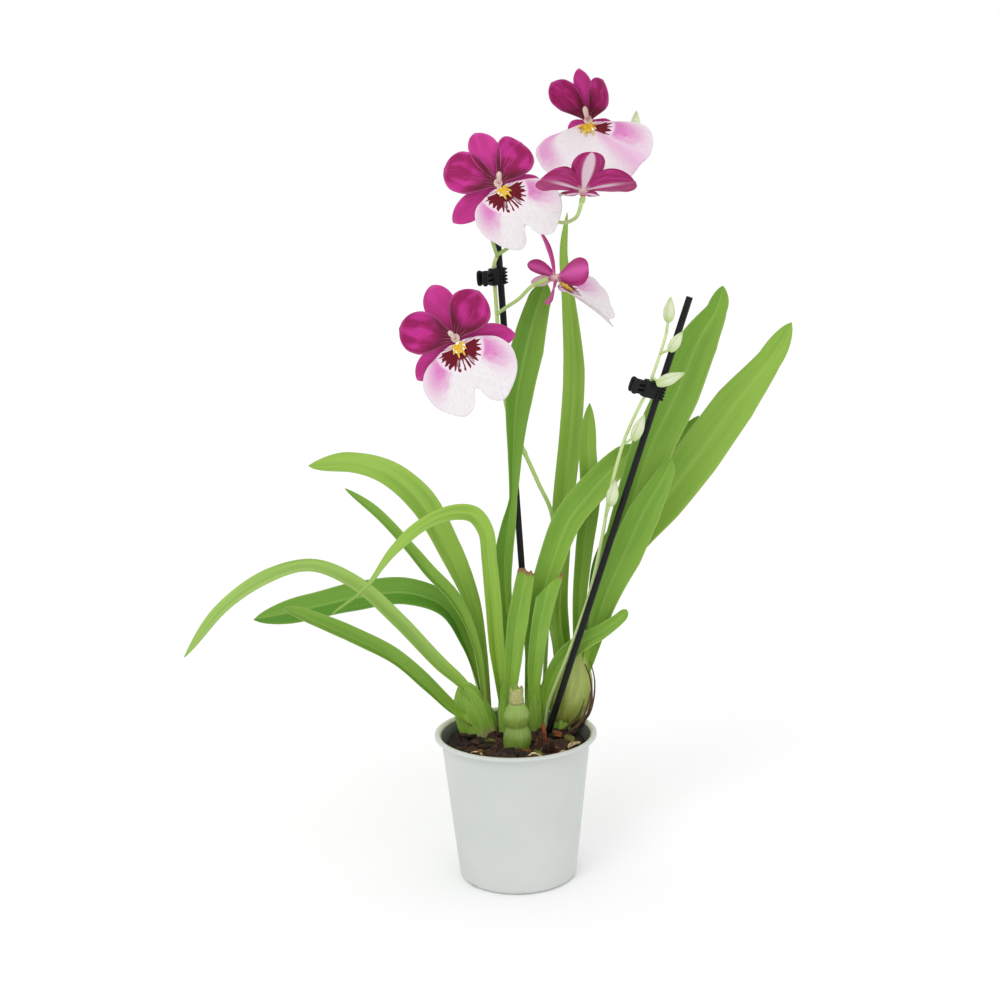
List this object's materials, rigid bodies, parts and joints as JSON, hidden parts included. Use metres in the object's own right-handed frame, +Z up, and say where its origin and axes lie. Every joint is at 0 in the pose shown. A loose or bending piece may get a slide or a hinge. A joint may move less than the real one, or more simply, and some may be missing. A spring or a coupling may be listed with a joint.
{
  "type": "potted miltonia orchid",
  "caption": "Potted pansy orchid with open magenta blooms on one spike, a second spike in bud, strap leaves, two support stakes with clips and a tapered nursery pot.",
  "frame": {"origin": "centre of the flat underside of the pot, on the ground", "axes": "+Z up along the pot's axis; -Y towards the viewer, where two of the open blooms face; +X to the viewer's right"},
  "size_m": [0.446, 0.1636, 0.5837],
  "materials": {
    "pot_plastic": "matte grey-white moulded plastic",
    "bark": "rough dark bark chips",
    "leaf": "smooth green blade with a soft sheen",
    "pseudobulb": "smooth yellow-green",
    "spike": "smooth pale green stem",
    "bud": "pale green-white bud",
    "tepal": "velvety magenta, dark at the base",
    "lip": "white with a pink flush and a dark crimson mask",
    "column": "waxy cream",
    "stake": "matte black plastic",
    "clip": "matte black plastic"
  },
  "bodies": {
    "root": {"pot": "pot_plastic", "bark_medium": "bark", "shoot_left": "leaf", "shoot_centre": "leaf", "shoot_inner_right": "leaf", "shoot_right": "leaf", "old_pseudobulb": "pseudobulb", "flower_spike": "spike", "bud_spike": "bud", "bloom_low_tepals": "tepal", "bloom_low_lip": "lip", "bloom_low_column": "column", "bloom_middle_tepals": "tepal", "bloom_middle_lip": "lip", "bloom_middle_column": "column", "bloom_top_tepals": "tepal", "bloom_top_lip": "lip", "bloom_top_column": "column", "bloom_back_tepals": "tepal", "bloom_back_lip": "lip", "bloom_back_column": "column", "bloom_side_tepals": "tepal", "bloom_side_lip": "lip", "bloom_side_column": "column", "stake_left": "stake", "stake_right": "stake", "clip_left": "clip", "clip_right": "clip"}
  },
  "joints": []
}
